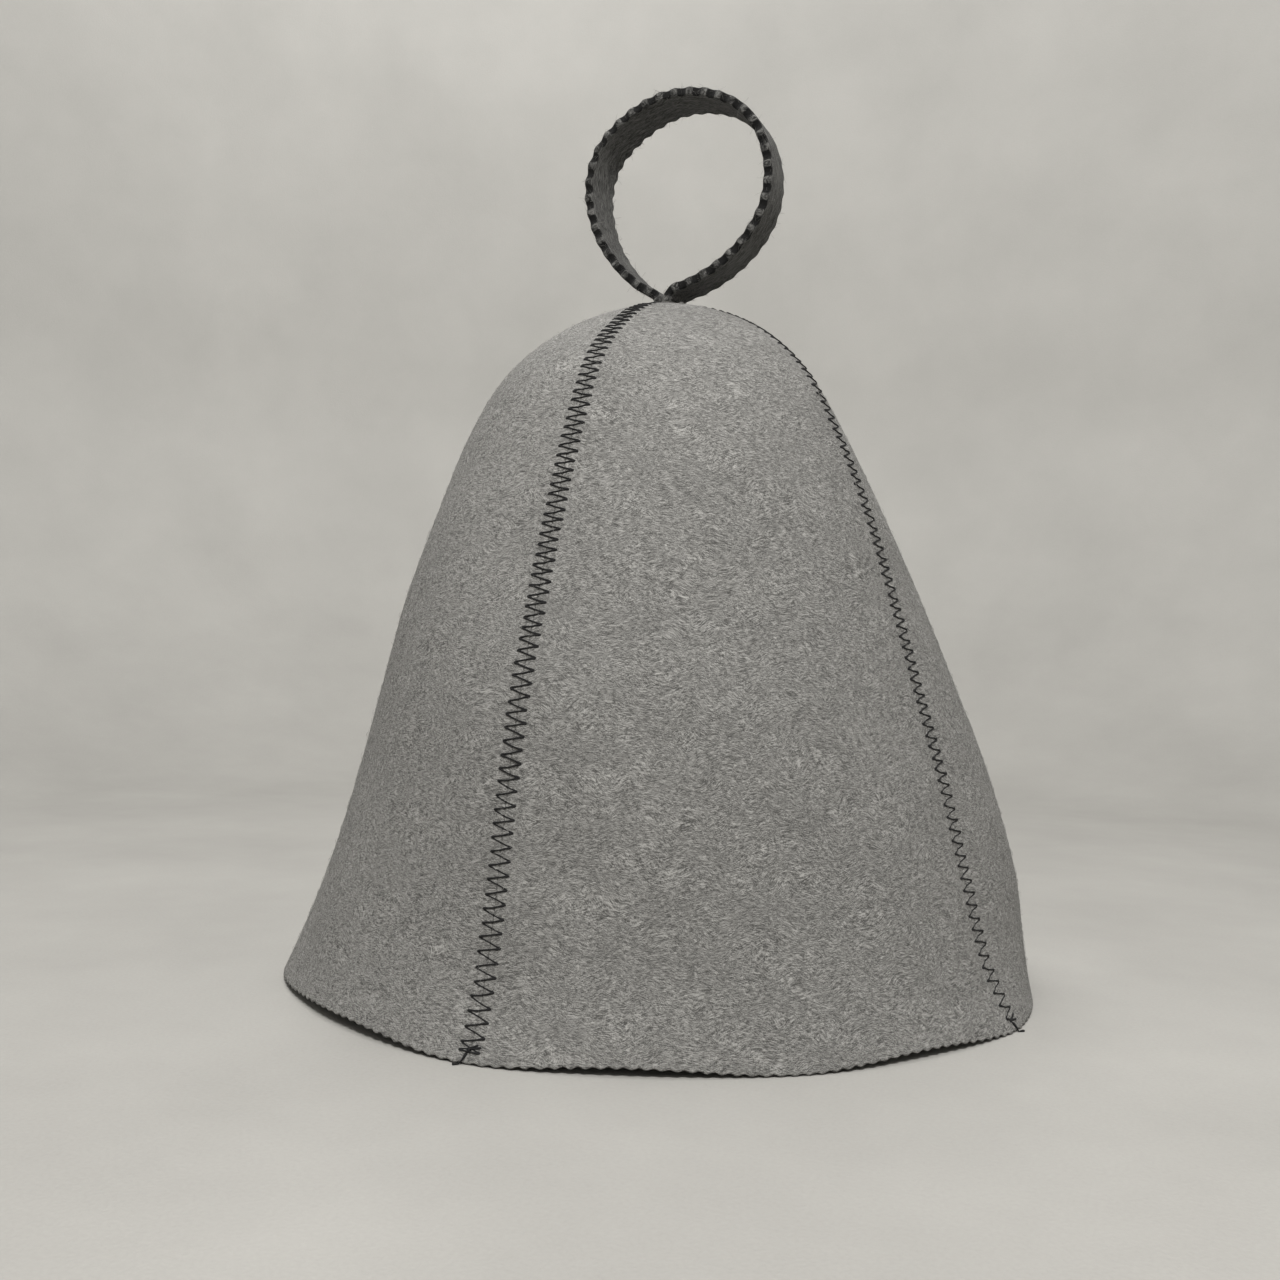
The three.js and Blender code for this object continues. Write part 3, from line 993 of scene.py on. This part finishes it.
def seam_places(seam, up, beside, skin):
    """Points on a skin by a seam, and the way out of the felt there."""
    along = np.interp(up, seam_lengths[seam], fine_alongs)
    points, normals = np.zeros((*up.shape, 3)), np.zeros((*up.shape, 3))
    for gore, at_start in ((by_start[seam], True), (by_end[seam], False)):
        mine = beside >= 0 if at_start else beside < 0
        row_length = np.interp(along[mine], wall_alongs, row_lengths[gore.node])
        share = np.abs(beside[mine]) / row_length
        outer, inner = gore_skins(gore, along[mine], share if at_start else 1 - share)
        outward = unit(outer - inner)
        way_out = outward if skin == 0 else -outward
        sink = seam_sink(seam, up[mine], beside[mine])
        points[mine] = (outer, inner)[skin] - way_out * sink[..., None]
        normals[mine] = way_out
    return points, normals


# %% [markdown]
# The thread is laid from hole to hole. It dives into the felt at both ends of a leg and rises a
# little between them, and it is thicker at the holes, where the twist opens. Near the hem the
# steep legs were pulled down into the joint, so there they lie deeper than the level ones.

# %% Lay the legs of the zigzag
leg_steps = np.array((0, 0.04, 0.12, 0.3, 0.5, 0.7, 0.88, 0.96, 1))
leg_rise = np.array((-0.8, 0.0, 0.14, 0.14, 0.14, 0.14, 0.14, 0.0, -0.8)) * MM
leg_swell = np.array((1.2, 1.5, 1.25, 0.88, 0.8, 0.88, 1.25, 1.5, 1.2))
sunk_leg = -0.24 * MM
sunk_below = 75 * MM
leg_bow = 0.15 * MM


def thread_legs(seam, skin):
    """Paths of every leg of one seam's thread on one skin."""
    holes = seam_holes[seam]
    start, end = holes[:-1, None], holes[1:, None]
    steps = leg_steps[None, :, None]
    flat = start + (end - start) * steps
    bow = dice.normal(0, leg_bow, (len(flat), 1)) * np.sin(math.pi * leg_steps)
    flat[..., 0] += bow
    points, normals = seam_places(seam, flat[..., 0], flat[..., 1], skin)
    rise = np.broadcast_to(leg_rise, flat.shape[:2]).copy()
    steep = np.sign(end[:, 0, 1]) == -level_sides[seam]
    rise[steep & (start[:, 0, 0] < sunk_below)] += sunk_leg
    return points + normals * rise[..., None], normals


# %% [markdown]
# Each seam ends in a loose tail under 10 mm long. It leaves the last hole, follows the felt down
# over the hem, and turns aside on the floor. It gets as many points as a leg of the zigzag, so
# that both fit into one array.

# %% Lay the loose tails
tail_ups = np.array((1, 0.85, 0.6, 0.35, 0.1))  # as shares of the last hole's height
tail_rises = np.array((-0.8, 0.3, 0.45, 0.45, 0.4)) * MM
tail_ends = np.array((0.25, 0.5, 0.75, 1))  # as shares of the way along the floor
tail_turn = (0.6, 0.8)  # how far out and how far sideways, for each step of that way
tail_fall = 1.6
tail_clearance = 0.05 * MM
tail_plans = {  # how far each tail goes beyond the hem, and to its side
    "front": (1.6 * MM, -1.3 * MM),
    "right": (2.0 * MM, 1.6 * MM),
    "back": (2.5 * MM, 1.5 * MM),
    "left": (2.0 * MM, -1.2 * MM),
}


def thread_tail(seam, beyond, sidestep):
    """The loose end of a thread: from the last hole down over the hem, and on along the floor."""
    hole_up, hole_beside = seam_holes[seam][-1]
    besides = hole_beside + sidestep * np.linspace(0, 1, len(tail_ups)) ** 2
    besides = np.sign(hole_beside) * np.maximum(besides * np.sign(hole_beside), tail_clearance)
    on_felt, normals = seam_places(seam, hole_up * tail_ups, besides, 0)
    on_felt += normals * tail_rises[:, None]
    level_out = unit(normals[-1] * (1, 1, 0))
    sideways = np.array((-level_out[1], level_out[0], 0)) * np.sign(sidestep)
    way = level_out * tail_turn[0] + sideways * tail_turn[1]
    on_floor = on_felt[-1] + way * beyond * tail_ends[:, None]
    on_floor[:, 2] = np.maximum(on_felt[-1][2] * (1 - tail_ends * tail_fall), thread_radius * 1.05)
    path = np.vstack((on_felt, on_floor))
    return path[None], np.vstack((normals, np.tile(normals[-1], (len(tail_ends), 1))))[None]


# %% [markdown]
# All the legs of a seam, on both skins, and its tail are one thread on the real hat, so they
# become one mesh.

# %% Make the thread of each seam
for seam in seam_angles:
    bundles = [thread_legs(seam, 0), thread_legs(seam, 1), thread_tail(seam, *tail_plans[seam])]
    paths = np.vstack([bundle[0] for bundle in bundles])
    normals = np.vstack([bundle[1] for bundle in bundles])
    points, faces, thread_lay = tubes(paths, normals, thread_radius * leg_swell)
    piece = new_piece("seam_thread_" + seam, points, faces, thread_material)
    add_attribute(piece, "thread_lay", "FLOAT_VECTOR", thread_lay)
    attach(piece, "root")
    print(piece.name, "has", len(paths), "legs")

# %% [markdown]
# ## The hanging loop
# The loop is a strip of the same felt, 14 mm wide and cut in small waves along both edges. Its
# ends stand side by side in the slot at the crown, and between them it springs up into a ring that
# leans to one side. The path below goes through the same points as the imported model's, so the
# ring stays where the frame has it.

# %% The path of the strap
loop_width = 64 * MM
loop_height = 69 * MM
strap_width = 14 * MM
strap_rise = 1.5 * MM
strap_end_gap = 0.4 * MM
strap_wave_pitch = 5.4 * MM
strap_wave_depth = 0.85 * MM
strap_round = 0.7 * MM
strap_twist = math.radians(14)
twist_middle = 0.36
twist_reach = 0.17

ring_points = (  # across as shares of loop_width, up as shares of loop_height above the crown
    (-0.15, 0.1), (-0.28, 0.22), (-0.385, 0.38), (-0.435, 0.6), (-0.39, 0.77), (-0.25, 0.905),
    (-0.05, 0.99), (0.155, 0.995), (0.36, 0.925), (0.5, 0.79), (0.565, 0.59), (0.54, 0.41),
    (0.445, 0.265), (0.305, 0.155), (0.165, 0.09), (0.05, 0.055),
)
foot = (felt_thickness + strap_end_gap) / 2
feet = ((foot, -strap_tail), (foot, -strap_tail / 2), (foot, strap_rise))
strap_knots = np.array([
    *((-x, z) for x, z in feet),
    *((across * loop_width, up * loop_height) for across, up in ring_points),
    *feet[::-1],
])


def even_curve(knots, steps):
    """Points on a smooth curve through knots that are unevenly spaced."""
    knots = np.vstack((2 * knots[0] - knots[1], knots, 2 * knots[-1] - knots[-2]))
    pieces = []
    for p0, p1, p2, p3 in zip(knots, knots[1:], knots[2:], knots[3:]):
        d0, d1, d2 = (math.sqrt(np.linalg.norm(b - a)) for a, b in ((p0, p1), (p1, p2), (p2, p3)))
        slope_in = ((p1 - p0) / d0 - (p2 - p0) / (d0 + d1) + (p2 - p1) / d1) * d1
        slope_out = ((p2 - p1) / d1 - (p3 - p1) / (d1 + d2) + (p3 - p2) / d2) * d1
        w = np.linspace(0, 1, steps, endpoint=False)[:, None]
        pieces.append(cubic(p1, p2, slope_in, slope_out, w)[0])
    return np.vstack((*pieces, knots[-2]))


rough_strap = even_curve(strap_knots, 60)
rough_lengths = lengths_along(rough_strap)
strap_length = rough_lengths[-1]
print("strap length in mm:", round(strap_length / MM, 1))

# %% [markdown]
# The strap's section is carried along the path and narrowed at every notch. Blender could bevel a
# curve with such a section, but the notches, the scorched cut edge with its painted shade and the
# slight twist at the upper left all need their own value at each step, which plain arrays can give.

# %% Walk along the strap
points_per_strap_wave = 14
notch_strength_range = (0.8, 1.05)

strap_waves = round(strap_length / strap_wave_pitch)
strap_steps = np.linspace(0, strap_length, strap_waves * points_per_strap_wave + 1)
strap_line = np.stack([np.interp(strap_steps, rough_lengths, values) for values in rough_strap.T], -1)
strap_runs = unit(np.gradient(strap_line, axis=0))
strap_outs = np.stack((-strap_runs[:, 1], strap_runs[:, 0]), -1)
wave_places = strap_steps / strap_steps[-1] * strap_waves
strap_notch = 0.5 - 0.5 * np.cos(2 * math.pi * wave_places)
wave_strengths = dice.uniform(*notch_strength_range, strap_waves + 2)
notch_strengths = np.interp(wave_places, np.arange(strap_waves + 2), wave_strengths)
from_twist = (strap_steps / strap_length - twist_middle) / twist_reach
strap_twists = strap_twist * np.exp(-(from_twist**2))
print("steps along the strap:", len(strap_steps), "and waves:", strap_waves)

# %% [markdown]
# The section is a flat bar with rounded corners. It has many points across its two faces, so that
# the border of the scorched and shaded edge can be seen on them. Only one half is drawn, because
# the other half is the same one turned over.

# %% The strap's section
face_columns = 18
edge_angles = np.radians((30, 60, 90))
half_face = np.linspace(-1, 1, face_columns + 1)


def strap_section(half_width, half_thickness):
    """The strap's rounded section, as (across its width, through its thickness), once round."""
    flat_width = half_width - strap_round
    flat_depth = half_thickness - strap_round
    top = [(x * flat_width, half_thickness) for x in half_face]
    right = [(flat_width + strap_round * math.sin(a), flat_depth + strap_round * math.cos(a))
             for a in edge_angles]
    middle = [(half_width, 0.0)]
    lower_right = [(x, -z) for x, z in right[::-1]]
    first_half = np.array(top + right + middle + lower_right)
    return np.vstack((first_half, -first_half))


# %% [markdown]
# Now the section is set down at each step, turned by the twist and narrowed in each notch. Each
# point is told how dark its edge is drawn: the whole cut face is scorched, and deep in each notch
# painted shade makes it nearly black, while the tips stay grey. The flat coordinates run slower
# along the strap, which draws the felt's strokes out that way.

# %% Make the strap
lengthwise_share = 0.55
strap_depth = 1.4  # the strap takes its fibres from another depth than the gores
cut_start, cut_fade = 1.05 * strap_round, 0.8 * strap_round
notch_start, notch_fade = 0.2, 0.6
# the first number is the scorch of the whole cut face, and the second the painted shade deep in the
# notches
cut_scorch, notch_scorch_and_shade = 0.36, 0.9
heart_fade = 0.35  # how much paler the cut face is at its two rims

strap_places, strap_flat, strap_scorch_and_shade = [], [], []
for step, line, out, notch, notch_strength, twist in zip(
    strap_steps, strap_line, strap_outs, strap_notch, notch_strengths, strap_twists
):
    half_width = strap_width / 2 - strap_wave_depth * notch
    section = strap_section(half_width, felt_thickness / 2)
    through = section[:, 1] * math.cos(twist) - section[:, 0] * math.sin(twist)
    x = crown_axis.x + line[0] + out[0] * through
    y = crown_axis.y + section[:, 0] * math.cos(twist) + section[:, 1] * math.sin(twist)
    z = crown_height + line[1] + out[1] * through
    strap_places.append(np.stack((x, y, z), -1))
    long_step = np.full(len(section), step * lengthwise_share)
    strap_flat.append(np.stack((long_step, section[:, 0], section[:, 1] + strap_depth), -1))
    from_edge = half_width - np.abs(section[:, 0])
    cut_face = smooth_step((cut_start - from_edge) / cut_fade)
    heart = 1 - heart_fade * (section[:, 1] / (felt_thickness / 2)) ** 2
    in_notch = notch_strength * heart * smooth_step((notch - notch_start) / notch_fade)
    strap_scorch_and_shade.append(cut_face * (cut_scorch + notch_scorch_and_shade * in_notch))
section_size = len(strap_places[0])
strap_numbers = np.arange(len(strap_steps) * section_size).reshape(-1, section_size)
strap_faces = []
for lower, upper in zip(strap_numbers, strap_numbers[1:]):
    strap_faces += quad_band(np.append(lower, lower[0]), np.append(upper, upper[0]))
strap_faces.append(strap_numbers[0][::-1].tolist())
strap_faces.append(strap_numbers[-1].tolist())
strap = new_piece("strap_loop", np.vstack(strap_places), strap_faces, strap_felt_with_painted_shade)
add_attribute(strap, "flat_place", "FLOAT_VECTOR", np.vstack(strap_flat))
add_attribute(strap, "scorch_and_shade", "FLOAT", np.concatenate(strap_scorch_and_shade))
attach(strap, "root")
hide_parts("hanging_loop")
print("strap has", len(strap_faces), "faces")

# %% [markdown]
# The two ends of the strap are held in the crown by one straight row of stitches on each side.
# The row is short and half hidden, but without it nothing would hold the loop.

# %% Sew the strap in
row_height = 1.1 * MM
row_half_length = 5.4 * MM
row_stitches = 4
row_sink = 0.05 * MM

row_paths, row_normals = [], []
for length in (strap_tail + row_height, strap_length - strap_tail - row_height):
    number = int(np.searchsorted(strap_steps, length))
    line, out = strap_line[number], strap_outs[number]
    way_out = np.array((out[0], 0, out[1]))
    skin = np.array((crown_axis.x + line[0], crown_axis.y, crown_height + line[1]))
    skin += way_out * felt_thickness / 2
    ends = np.linspace(-1, 1, row_stitches + 1)
    for first, last in zip(ends, ends[1:]):
        path = skin + way_out * (leg_rise - row_sink)[:, None]
        path[:, 1] += row_half_length * (first + (last - first) * leg_steps)
        row_paths.append(path)
        row_normals.append(np.broadcast_to(way_out, path.shape))
row_paths, row_normals = np.array(row_paths), np.array(row_normals)
points, faces, thread_lay = tubes(row_paths, row_normals, thread_radius * leg_swell)
strap_thread = new_piece("strap_thread", points, faces, thread_material)
add_attribute(strap_thread, "thread_lay", "FLOAT_VECTOR", thread_lay)
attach(strap_thread, "root")
print("strap held by", len(row_paths), "stitches")

# %% [markdown]
# ## Loose fibres
# What makes felt look soft is the haze of short fibres that stand off it. They are far too fine
# for a texture to show at the outline, so they are real geometry: thousands of tiny curved
# spindles, pointed at both ends, that start in the felt, lean over and come down again. Blender's
# hair would do this too, but a joined mesh stays the same in every viewer.

# %% Build spindles for loose fibres
spindle_steps = np.array((0, 0.25, 0.55, 0.82, 1))
spindle_widths = np.array((0.8, 1.0, 0.75))  # of the three rings between the points
spindle_arch = 0.86  # the share of an arch, so that the tip stays a little off the felt
spindle_root = 0.05 * MM
spindle_bend = 0.9
corners = np.radians((90, 210, 330))
fibre_points = 2 + len(spindle_widths) * len(corners)
floor_clearance = 0.02 * MM


def spindles(bases, along_way, across_way, outward, sizes):
    """One mesh of fibres. sizes is (length, rise, width) for each fibre."""
    count = len(bases)
    angle = dice.uniform(0, 2 * math.pi, (count, 1))
    angle = angle + dice.normal(0, spindle_bend, (count, 1)) * spindle_steps
    step = np.diff(spindle_steps, prepend=0) * sizes[:, :1]
    x, y = np.cumsum(np.cos(angle) * step, 1), np.cumsum(np.sin(angle) * step, 1)
    rise = sizes[:, 1:2] * np.sin(math.pi * spindle_steps * spindle_arch) - spindle_root
    path = bases[:, None] + across_way[:, None] * x[..., None] + along_way[:, None] * y[..., None]
    path = path + outward[:, None] * rise[..., None]
    run = unit(np.gradient(path, axis=1))
    side = unit(np.cross(run, outward[:, None]))
    top = np.cross(side, run)
    ring = np.cos(corners)[:, None] * side[:, 1:4, None]
    ring = ring + np.sin(corners)[:, None] * top[:, 1:4, None]
    widths = (sizes[:, 2:3] * spindle_widths)[..., None, None]
    middle = (path[:, 1:4, None] + ring * widths).reshape(count, -1, 3)
    points = np.concatenate((path[:, :1], middle, path[:, 4:]), 1)
    points[..., 2] = np.maximum(points[..., 2], floor_clearance)
    first = np.arange(count)[:, None, None] * fibre_points
    first_ring, second_ring, last_ring = np.arange(1, fibre_points - 1).reshape(3, -1)
    ends, sides = [], []
    for k in range(3):
        beside = (k + 1) % 3
        ends += [(0, first_ring[beside], first_ring[k]),
                 (last_ring[k], last_ring[beside], fibre_points - 1)]
    for lower, upper in ((first_ring, second_ring), (second_ring, last_ring)):
        sides.append([(lower[k], lower[k - 2], upper[k - 2], upper[k]) for k in range(3)])
    faces = (first + np.array(ends)).reshape(-1, 3).tolist()
    for quads in sides:
        faces += (first + np.array(quads)).reshape(-1, 4).tolist()
    return points.reshape(-1, 3), faces


# %% [markdown]
# Most loose fibres lie low and only a few stand well off the felt, so their heights are drawn from
# a lopsided spread and not from an even one. Each fibre also gets its own shade.

# %% Sizes and shades of the fibres
fibre_lengths = (1.4, 4.0)  # this and the next two lines are in millimetres
rise_shape, rise_scale, least_rise = 2.0, 0.13, 0.06
fibre_widths = (0.028, 0.055)


def fibre_sizes(count, most_rise):
    """(length, rise, width) of each fibre."""
    length = dice.uniform(*fibre_lengths, count) * MM
    rise = dice.gamma(rise_shape, rise_scale, count) * MM + least_rise * MM
    width = dice.uniform(*fibre_widths, count) * MM
    return np.stack((length, np.minimum(rise, most_rise), width), -1)


def fibre_piece(name, points, faces, count, palest=1.0):
    """The object for many fibres. Each one carries its own paleness at all its points."""
    piece = new_piece(name, points, faces, fuzz_material)
    paleness = dice.uniform(-0.2, palest, count)
    add_attribute(piece, "paleness", "FLOAT", np.repeat(paleness, fibre_points))
    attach(piece, "root")
    return piece


# %% [markdown]
# Fibres must lie evenly over a gore whose rows get shorter towards the crown. So a row is drawn by
# its length, and then a place on the row is kept or dropped by how wide its faces are. The inner
# skin gets fewer, because it is seen only from below.

# %% Scatter loose fibres over the gores
fibres_outside = 2700
fibres_inside = 400
tries_per_fibre = 2
wide_face = 0.9  # the quantile of the faces' widths above which every try is kept
highest_fibre = 0.9 * MM


def scatter(wall, skin, count):
    """Even random places on a skin, with the ways along it, across it and out of it."""
    points = wall[skin]
    lengths = lengths_along(points, axis=1)[:, -1]
    rows = dice.choice(len(points) - 2, count, p=lengths[1:-1] / lengths[1:-1].sum()) + 1
    columns = dice.integers(1, points.shape[1] - 1, count)
    widths = np.linalg.norm(points[rows, columns + 1] - points[rows, columns], axis=-1)
    keep = dice.uniform(0, 1, count) < widths / np.quantile(widths, wide_face)
    rows, columns = rows[keep], columns[keep]
    share = dice.uniform(0, 1, (len(rows), 1))
    bases = points[rows, columns] * (1 - share) + points[rows, columns + 1] * share
    across = unit(points[rows, columns + 1] - points[rows, columns - 1])
    along = unit(points[rows + 1, columns] - points[rows - 1, columns])
    outward = np.cross(across, along) * (1 if skin == 0 else -1)
    return bases, along, across, outward


for gore in gores:
    found = [scatter(gore_walls[gore.node], skin, count)
             for skin, count in ((0, fibres_outside * tries_per_fibre),
                                 (1, fibres_inside * tries_per_fibre))]
    bases, along, across, outward = (np.vstack(part) for part in zip(*found))
    sizes = fibre_sizes(len(bases), highest_fibre)
    points, faces = spindles(bases, along, across, outward, sizes)
    fibre_piece(
        gore.node.replace("panel", "fuzz"), points, faces, len(bases)
    )
    print(gore.node, "carries", len(bases), "loose fibres")

# %% [markdown]
# The strap's rows are all alike, so there any row and column will do. Its fibres are shorter and
# darker than the gores', as its felt is drawn darker, partly as painted shade.

# %% Scatter loose fibres over the strap
strap_fibres = 2200
highest_strap_fibre = 0.4 * MM

strap_grid = np.stack(strap_places)
rows = dice.integers(2, len(strap_grid) - 2, strap_fibres)
columns = dice.integers(0, section_size, strap_fibres)
bases = strap_grid[rows, columns]
across = unit(strap_grid[rows, (columns + 1) % section_size] - strap_grid[rows, columns - 1])
along = unit(strap_grid[rows + 1, columns] - strap_grid[rows - 1, columns])
outward = np.cross(across, along)
sizes = fibre_sizes(strap_fibres, highest_strap_fibre)
points, faces = spindles(bases, along, across, outward, sizes)
strap_fuzz = fibre_piece("fuzz_strap", points, faces, strap_fibres, palest=0.3)
print("the strap carries", strap_fibres, "loose fibres")

# %% [markdown]
# ## What was cut from the felt sheet
# Each gore is a sheet of cloth cut flat before it was sewn. Its flat width is measured as the
# length of its hem, and its flat length as the height of its middle measured over the felt.


for gore in gores:
    outer, inner = gore_walls[gore.node][:2]
    middle = outer.shape[1] // 2
    flat_width = lengths_along(outer[:1], axis=1)[0, -1]
    flat_length = lengths_along(outer[:, middle])[-1] + hem_band

# %% [markdown]
# ## Light
# The photograph was taken in soft light that falls mostly from above and from behind the camera:
# the crown and the middle of the front gore are brightest, the flanks fall off gently, and nothing
# casts a hard shadow. A faint sky gives the even part, and two soft lamps give the direction. A
# third one keeps the sheet behind the hat as pale as the floor, and a weak one behind the hat
# lifts its far side, for anyone who walks round it.

# %% Light the set
world = bpy.data.worlds.new("pale_sky")
bpy.context.scene.world = world
world.use_nodes = True
sky = world.node_tree.nodes["Background"]
sky.inputs["Color"].default_value = (1.0, 0.985, 0.96, 1)
sky.inputs["Strength"].default_value = 0.055

LAMPS = {  # ahead, right and up from the crown's axis in metres, size in metres, power in watts
    "front_lamp": ((-0.8, 0.06, 1.05), 0.35, 15.6),
    "top_lamp": ((0.1, 0, 1.5), 1.0, 8.2),
    "sheet_lamp": ((0.25, 0, 1.1), 0.8, 1.8),
    "back_lamp": ((0.7, -0.25, 1.05), 0.6, 1.9),
}
SHEET_AIM = (0.95, 0, 0.3)


def from_crown(forward, right, up):
    """A place given from the crown's axis, in the directions of the camera."""
    return crown_axis + ahead * forward + rightward * right + Vector((0, 0, up))


hat_middle = (cad_low + cad_high) / 2
for name, (steps, size, power) in LAMPS.items():
    place = from_crown(*steps)
    aim = from_crown(*SHEET_AIM) if name == "sheet_lamp" else hat_middle
    lamp = bpy.data.objects.new(name, bpy.data.lights.new(name, "AREA"))
    lamp.data.shape = "DISK"
    lamp.data.size = size
    lamp.data.energy = power
    lamp.data.color = (1.0, 0.985, 0.965)
    lamp.location = place
    lamp.rotation_mode = "QUATERNION"
    lamp.rotation_quaternion = (aim - place).to_track_quat("-Z", "Y")
    bpy.context.scene.collection.objects.link(lamp)
bpy.context.scene.view_settings.view_transform = "Standard"

# %% [markdown]
# ## The end
# The dressed hat must keep the size of the imported one.

# %% Finish
bpy.context.view_layer.update()
